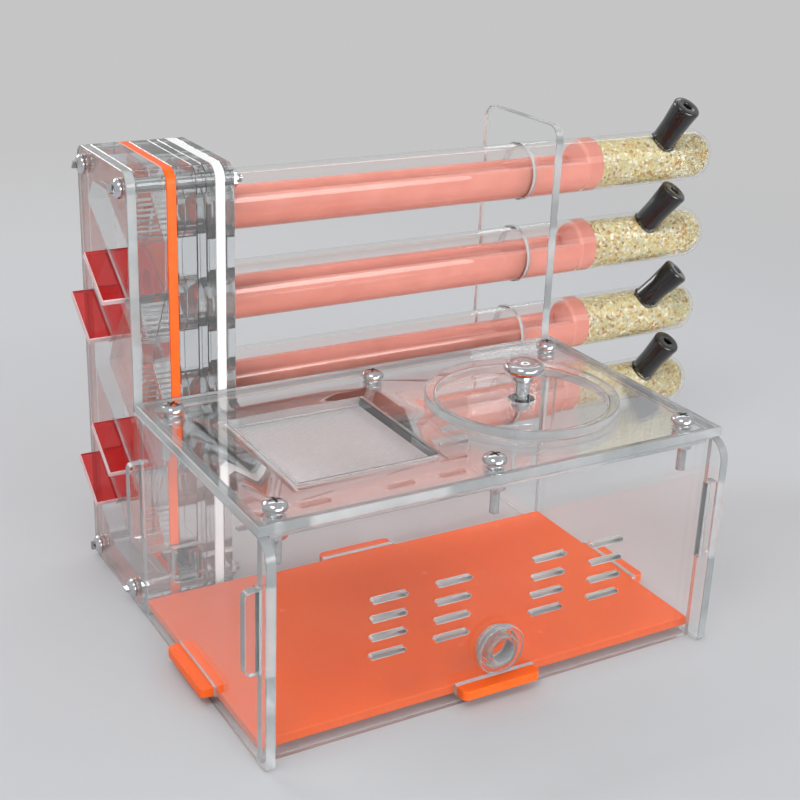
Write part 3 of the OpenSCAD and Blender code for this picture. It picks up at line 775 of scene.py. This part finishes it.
knob_low, knob_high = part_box("cover_knob")
disc_top = cover_high.z
knob_r = (knob_high.x - knob_low.x) / 2 / MM
knob_neck = [(0, 0), (3.1, 0), (3.1, 5.1), (3.3, 5.35)]
knob_ring = [(3.9, 5.4), (4.15, 5.6), (4.15, 7.2), (3.95, 7.5)]
knob_cap = [(4.3, 7.8), (5.6, 8.2), (6.9, 8.8), (knob_r - 0.5, 9.6), (knob_r, 10.7), (knob_r - 0.1, 11.6),
            (knob_r - 0.6, 12.4), (knob_r - 1.4, 12.95), (knob_r - 2.3, 13.1), (knob_r - 3.1, 12.95)]
knob_crown = [(3.6, 12.9), (2.6, 13.2), (1.6, 13.6), (0.8, 13.75), (0, 13.8)]
knob = lathe(scaled(knob_neck + knob_ring + knob_cap + knob_crown))
stud = threaded(disc_top - knob_low.z)
stud.from_mesh(knob)
stud.to_mesh(knob)
stud.free()
knob.transform(Matrix.Translation((cover_spot.x, cover_spot.y, disc_top)))
finish_mesh("cover_turned_knob", knob, "cover", [STEEL], ["cover_knob"])
WASHER_BORE_R, WASHER_R, WASHER_T, WASHER_BEVEL = 2.15 * MM, 5.5 * MM, 1 * MM, 0.12 * MM
fixing = nut_mesh()
washer = lathe(eased([(WASHER_BORE_R, NUT_H), (WASHER_R, NUT_H), (WASHER_R, NUT_H + WASHER_T),
                      (WASHER_BORE_R, NUT_H + WASHER_T)], WASHER_BEVEL), 48)
pair = bmesh.new()
pair.from_mesh(fixing)
pair.from_mesh(washer)
pair.to_mesh(fixing)
pair.free()
fixing.transform(Matrix.Translation((cover_spot.x, cover_spot.y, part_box("cover_nut")[0].z)))
finish_mesh("cover_nut_and_washer", fixing, "cover", [STEEL], ["cover_nut"])


# ----------------------------------------------------------------------- gates
# Four plates of see-through red acrylic, pushed in through sloping slots; each
# shuts the zigzag off at one place, and its outer end is the grip.

SHADE_OF_RED = (0.8, 0.12, 0.14, 1)


def red_face(name):
    """See-through red acrylic; what lies behind it shows darker and red."""
    f = Finish(name, Base_Color=linear(246, 84, 84), Transmission_Weight=0.96, IOR=ACRYLIC_IOR)
    f.set("Roughness", 0.03 + f.noise(9 * MM, 3.0) * 0.06)
    f.let_lamps_through(SHADE_OF_RED)
    return f.material


RED = red_face("red acrylic")
RED_EDGE = cut_edge("red cut edge", linear(246, 196, 197), linear(255, 244, 244), 0.3)
for k in range(1, 5):
    broken(f"red_gate_{k}", f"gate_{k}", f"gate_body_{k}", RED, RED_EDGE)


# ------------------------------------------------------------------ nest tubes
# Four glass tubes, closed and round at the far end, each with a hole in its
# side for a stopper.  The open end sits in the stack's white gasket.

def tube_glass(name):
    """Clear glass with faint streaks along the tube."""
    f = Finish(name, Base_Color=linear(254, 255, 255), Transmission_Weight=1.0, IOR=1.47)
    f.set("Roughness", f.noise(30 * MM, 2.0, (0.3, 1, 1)) * 0.02)
    f.let_lamps_through(SHADE_OF_CLEAR)
    return f.material


GLASS = tube_glass("tube glass")
GLASS_WALL, GLASS_LIP = 1.3 * MM, 0.3 * MM
FLARE, HOLE_GAP = 0.8, 0.05   # a stopper's grip over its neck, the hole over the neck, in millimetres


def tube_axis(k):
    """The middle of a tube's open end, its radius and its length."""
    low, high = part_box(f"glass_{k}")
    return Vector((low.x, (low.y + high.y) / 2, (low.z + high.z) / 2)), (high.y - low.y) / 2, high.x - low.x


def stopper_place(k):
    """Where a stopper stands, its foot at the origin and +Z out of the glass; its length and radius."""
    pull = Vector(next(j for j in frame["joints"] if j["child"] == f"bung_{k}")["axis"])
    turn = pull.to_track_quat("Z", "Y").to_matrix()
    spans = []
    for way in turn.col:
        along = [v.co.dot(way) for v in nodes[f"stopper_{k}"].data.vertices]
        spans.append((min(along), max(along)))
    (a, b), (c, d), (low, high) = spans
    spot = turn.col[0] * (a + b) / 2 + turn.col[1] * (c + d) / 2 + turn.col[2] * low
    return Matrix.Translation(spot) @ turn.to_4x4(), (high - low) / MM, (b - a) / 2 / MM


def dome(radius, centre, steps=16):
    """A quarter circle from the wall at the centre's height to the axis above it."""
    return [(radius * math.cos(a), centre + radius * math.sin(a))
            for a in (math.pi / 2 * i / steps for i in range(steps + 1))][:-1] + [(0, centre + radius)]


for k in range(1, 5):
    start, r, length = tube_axis(k)
    bulb = length - r
    inner = r - GLASS_WALL
    near_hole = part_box(f"stopper_{k}")[0].x - start.x
    outside = [(r - GLASS_LIP, 0), (r, GLASS_LIP), (r, near_hole), *dome(r, bulb)]
    inside = [*reversed(dome(inner, bulb)), (inner, near_hole), (inner, GLASS_LIP), (inner + GLASS_LIP, 0)]
    tube = lathe(outside + inside, 160)
    tube.transform(towards((1, 0, 0), start))
    place, _, wide = stopper_place(k)
    hole = (wide - FLARE + HOLE_GAP) * MM
    drill = lathe([(0, -MM), (hole, -MM), (hole, 2 * inner), (0, 2 * inner)])
    drill.transform(place)
    finish_mesh(f"nest_tube_{k}", cut_away(tube, [drill]), f"tube_{k}", [GLASS], [f"glass_{k}"])


# --------------------------------------------------------------------- plaster
# Salmon-coloured plaster cast in each tube: a trough along the nest, open on
# top for the ants, and a thick disc that keeps the damp sand behind it.

def plaster_face(name):
    """Cast plaster, mottled and full of fine pores."""
    f = Finish(name, IOR=1.45)
    cloud = f.noise(14 * MM, 4.0)
    pores = f.noise(0.9 * MM, 4.0)
    f.set("Base Color", f.blend(cloud, linear(216, 136, 121), linear(233, 163, 148)))
    f.set("Roughness", 0.72 + pores * 0.2)
    f.bump(pores, 0.2 * MM, 0.4)
    return f.material


def trough(radius, rim, hollow, start, end, steps=60):
    """The nest's lower half along +X, with a round hollow for the ants."""
    lowest = math.asin(rim / radius)
    section = [(radius * math.cos(a), radius * math.sin(a))
               for a in (lowest - (math.pi + 2 * lowest) * i / steps for i in range(steps + 1))]
    section += [(hollow * math.cos(a), rim + hollow * math.sin(a))
                for a in (math.pi + math.pi * i / steps for i in range(steps + 1))]
    shape = bmesh.new()
    near, far = ([shape.verts.new((x, y, z)) for y, z in section] for x in (start, end))
    shape.faces.new(near)
    shape.faces.new(far)
    for i in range(len(section)):
        j = (i + 1) % len(section)
        shape.faces.new([near[i], near[j], far[j], far[i]])
    bmesh.ops.recalc_face_normals(shape, faces=shape.faces)
    corners = [e for e in shape.edges if e.calc_face_angle(0) > SHARP]
    bmesh.ops.bevel(shape, geom=corners, offset=CAST_BEVEL, segments=2, profile=0.5, affect="EDGES")
    return shape


PLASTER = plaster_face("salmon plaster")
WETTED = 0.06 * MM        # what fills a tube lies against the glass, with no air between
RIM_UP, HOLLOW_R, CAST_BEVEL = 3.3 * MM, 6.7 * MM, 0.35 * MM
DISC_T = 9                # the disc and its profile, in millimetres
CAST_ON = 0.4 * MM        # the trough runs this far into the disc
for k in range(1, 5):
    axis_start, r, _ = tube_axis(k)
    low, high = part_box(f"plaster_{k}")
    radius = r - GLASS_WALL + WETTED
    disc_x = high.x - DISC_T * MM
    shape = trough(radius, RIM_UP, HOLLOW_R, low.x, disc_x + CAST_ON)
    wide = radius / MM
    disc = lathe(scaled([(0, 0), (wide - 1.6, 0), (wide - 0.8, 0.25), (wide - 0.25, 0.8), (wide, 1.6),
                         (wide, DISC_T - 0.6), (wide - 0.2, DISC_T - 0.2), (wide - 0.6, DISC_T),
                         (0, DISC_T)]), 96)
    disc.transform(towards((1, 0, 0), (disc_x, 0, 0)))
    shape.from_mesh(disc)
    casting = bpy.data.meshes.new("casting")
    shape.to_mesh(casting)
    shape.free()
    casting.transform(Matrix.Translation((0, axis_start.y, axis_start.z)))
    finish_mesh(f"plaster_nest_{k}", casting, f"tube_{k}", [PLASTER], [f"plaster_{k}"], angle=40)


# ------------------------------------------------------------------------ sand
# Coarse pale sand fills the closed end: a core with some thousands of grains
# on it, strewn by rule, each a small rough pebble.

GRAIN_R, GRAIN_GAP = 0.6 * MM, 0.85 * MM
SUNK = 0.4                # how far the core lies below the sand's outer shape, in grains' radii


def sand_face(name):
    """Each grain with a colour of its own, from brown to nearly white."""
    f = Finish(name, IOR=1.5)
    grains = f.node("ShaderNodeTexVoronoi", None,
                    {"Vector": f.place(), "Scale": 0.5 / GRAIN_R}, out="Color")
    pick = f.node("ShaderNodeSeparateColor", None, {"Color": grains}, out="Red")
    hue = f.node("ShaderNodeValToRGB", {"stops": [
        (0.0, linear(150, 112, 66)[:3]), (0.14, linear(200, 158, 98)[:3]),
        (0.3, linear(206, 188, 122)[:3]), (0.55, linear(214, 206, 158)[:3]),
        (0.75, linear(190, 186, 164)[:3]), (0.9, linear(224, 216, 186)[:3]),
        (1.0, linear(242, 238, 226)[:3])]}, {"Fac": pick}, out="Color")
    f.set("Base Color", hue)
    f.set("Roughness", 0.45 + pick * 0.3)
    f.bump(f.noise(0.4 * MM, 2.0), 0.1 * MM, 0.5)
    return f.material


SAND = sand_face("coarse sand")


def grain_tree():
    """Pebbles of many sizes and turns, strewn over a core and joined with it."""
    g = Growth("grains", {"Gap": ("NodeSocketFloat", 0.0009), "Grain": ("NodeSocketFloat", 0.0007),
                          "Seed": ("NodeSocketInt", 3)})
    core, seed = g.given("Geometry"), g.given("Seed")
    spots = g.node("GeometryNodeDistributePointsOnFaces", {"distribute_method": "POISSON"},
                   {"Mesh": core, "Distance Min": g.given("Gap"), "Density Max": 3.0e6, "Seed": seed})
    pebble = g.node("GeometryNodeMeshIcoSphere", None, {"Radius": g.given("Grain"), "Subdivisions": 1})
    turn = g.node("FunctionNodeRandomValue", {"data_type": "FLOAT_VECTOR"},
                  {"Min": (0, 0, 0), "Max": (6.28, 6.28, 6.28), "Seed": seed})
    size = g.node("FunctionNodeRandomValue", {"data_type": "FLOAT_VECTOR"},
                  {"Min": (0.55, 0.55, 0.45), "Max": (1.0, 1.15, 0.85), "Seed": seed + 5.0})
    strewn = g.node("GeometryNodeInstanceOnPoints", None,
                    {"Points": spots, "Instance": pebble, "Rotation": turn, "Scale": size})
    both = g.node("GeometryNodeJoinGeometry", None, {"Geometry": strewn})
    g.tree.links.new(core.socket, both.socket.node.inputs["Geometry"])
    g.finish(both, SAND)
    return g


grains = grain_tree()
for k in range(1, 5):
    core = nodes[f"sand_{k}"].data.copy()
    shape = welded(f"sand_{k}")
    shape.normal_update()
    for v in shape.verts:
        v.co -= v.normal * GRAIN_R * SUNK
    shape.to_mesh(core)
    shape.free()
    strewn = grains.run(core, Gap=GRAIN_GAP, Grain=GRAIN_R, Seed=3 + k)
    finish_mesh(f"sand_fill_{k}", strewn, f"tube_{k}", [SAND], [f"sand_{k}"], angle=25)


# -------------------------------------------------------------------- stoppers
# Black rubber stoppers, moulded and glossy, with a recess in the outer end.
# Each is pushed into the hole in its tube's side, leaning to the closed end.

def rubber_face(name):
    """Moulded rubber, glossy, with a slight bloom on it."""
    f = Finish(name, IOR=1.5, Coat_Weight=0.7, Coat_Roughness=0.04)
    bloom = f.noise(3 * MM, 4.0)
    f.set("Base Color", f.blend(bloom, linear(6, 6, 7), linear(18, 18, 19)))
    f.set("Roughness", 0.14 + bloom * 0.18)
    f.bump(f.noise(0.8 * MM, 3.0), 0.05 * MM, 0.35)
    return f.material


RUBBER = rubber_face("black rubber")
STOP_STEP = 11.5          # the plain part in the glass; above it the grip widens
SOCKET_R, SOCKET_DEEP = 2.2, 5.0
for k in range(1, 5):
    place, long, wide = stopper_place(k)
    neck = wide - FLARE
    foot = [(0, 0), (neck - 1.1, 0), (neck - 0.5, 0.15), (neck - 0.1, 0.6), (neck, 1.2), (neck, STOP_STEP)]
    grip = [(wide, long - 1.6), (wide, long - 1.1), (wide - 0.25, long - 0.5), (wide - 0.7, long - 0.12),
            (wide - 1.3, long)]
    recess = [(SOCKET_R + 0.7, long), (SOCKET_R + 0.25, long - 0.12), (SOCKET_R, long - 0.5),
              (SOCKET_R, long - SOCKET_DEEP), (0, long - SOCKET_DEEP)]
    bung = lathe(scaled(foot + grip + recess))
    bung.transform(place)
    finish_mesh(f"rubber_stopper_{k}", bung, f"bung_{k}", [RUBBER], [f"stopper_{k}"], angle=50)


# -------------------------------------------------------- table, light, camera
# A plain pale table that fades into an even backdrop, five soft lamps on all
# sides, and a camera that stands where the photograph's did.

def looked_at(maker):
    """1 for what the camera sees, itself or in a reflection or through a clear piece."""
    seen = maker.node("ShaderNodeLightPath", out="Is Camera Ray")
    for kind in ("Glossy", "Transmission"):
        seen = seen.math("MAXIMUM", seen, maker.node("ShaderNodeLightPath", out=f"Is {kind} Ray"))
    return seen


AMBIENT, BACKDROP = 0.62, 0.56   # the world's strength as light, and as what is looked at
NEAR, FAR = 0.35, 0.95    # the table fades into the backdrop between these distances, in metres
TABLE = 4                 # half its width, in metres
TABLE_DROP = 0.05 * MM    # the object stands just clear of it
table = bpy.data.meshes.new("table")
table.from_pydata([(-TABLE, -TABLE, 0), (TABLE, -TABLE, 0), (TABLE, TABLE, 0), (-TABLE, TABLE, 0)], [],
                  [(0, 1, 2, 3)])
floor = bpy.data.objects.new("table_top", table)
floor.location.z = -TABLE_DROP
scene.collection.objects.link(floor)
pale = Finish("pale table", Base_Color=linear(198, 199, 202), Roughness=0.8, Specular_IOR_Level=0.0)
table.materials.append(pale.material)
away = pale.node("ShaderNodeVectorMath", {"operation": "LENGTH"}, {0: pale.place()}, out="Value")
fade = pale.node("ShaderNodeMapRange", {"interpolation_type": "SMOOTHSTEP"},
                 {"Value": away, "From Min": NEAR, "From Max": FAR}, out="Result")
glow = pale.node("ShaderNodeEmission", None, {"Color": (1, 1, 1, 1), "Strength": BACKDROP})
pale.feed(pale.tree.nodes["Material Output"].inputs["Surface"], pale.node("ShaderNodeMixShader", None, {
    0: fade * looked_at(pale), 1: Link(pale, pale.shader.outputs[0]), 2: glow}))

world = bpy.data.worlds.new("studio")
scene.world = world
world.use_nodes = True
sky = Maker(world.node_tree)
backdrop = world.node_tree.nodes["Background"]
backdrop.inputs["Color"].default_value = (1, 1, 1, 1)
sky.feed(backdrop.inputs["Strength"], AMBIENT + looked_at(sky) * (BACKDROP - AMBIENT))


def softbox(name, spot, aim, width, height, power, spread=180):
    """A square lamp that lights the object and isn't seen itself, but for its reflection."""
    lamp = bpy.data.lights.new(name, "AREA")
    lamp.shape, lamp.size, lamp.size_y = "RECTANGLE", width, height
    lamp.energy, lamp.spread = power, math.radians(spread)
    light = bpy.data.objects.new(name, lamp)
    light.location = spot
    light.rotation_euler = (Vector(aim) - Vector(spot)).to_track_quat("-Z", "Y").to_euler()
    light.visible_camera = light.visible_transmission = False
    scene.collection.objects.link(light)


softbox("key light", (-0.7, -0.5, 1.2), (0, 0, 0.08), 0.5, 0.4, 4)
softbox("fill light", (0.9, -0.9, 0.7), (0, 0, 0.08), 0.35, 0.5, 0.9)
softbox("front light", (0.15, -1.1, 0.3), (0, 0, 0.14), 1.1, 0.35, 2, 70)
softbox("top strip", (0.5, 0.62, 1.05), (0.5, 0.06, 0.1), 1.7, 0.1, 1.6)
softbox("back light", (-0.5, 1.2, 0.7), (0, 0, 0.1), 0.6, 0.4, 5)

FOCAL_PX, PHOTO_PX = 1432.74, 800   # solved from the box's edges in the photograph
EYE = Vector((-174.784, -384.337, 312.031)) * MM
TURN, TIP, ROLL = math.radians(30.552), math.radians(22.130), math.radians(2.282)
ahead = Vector((math.sin(TURN) * math.cos(TIP), math.cos(TURN) * math.cos(TIP), -math.sin(TIP)))
right = ahead.cross(Vector((0, 0, 1))).normalized()
up = right.cross(ahead)
right, up = right * math.cos(ROLL) + up * math.sin(ROLL), up * math.cos(ROLL) - right * math.sin(ROLL)
lens = bpy.data.cameras.new("photo camera")
lens.sensor_fit = "HORIZONTAL"
lens.sensor_width = 36
lens.lens = FOCAL_PX / PHOTO_PX * lens.sensor_width
lens.clip_start = 0.01
camera = bpy.data.objects.new("photo camera", lens)
camera.matrix_world = Matrix.Translation(home + EYE) @ Matrix((right, up, -ahead)).transposed().to_4x4()
scene.collection.objects.link(camera)
scene.camera = camera

scene.view_settings.view_transform = "Standard"
BOUNCES = 24              # a ray may cross a dozen sheets of the stack, two faces each
scene.cycles.max_bounces = BOUNCES
scene.cycles.transmission_bounces = BOUNCES
scene.cycles.transparent_max_bounces = BOUNCES
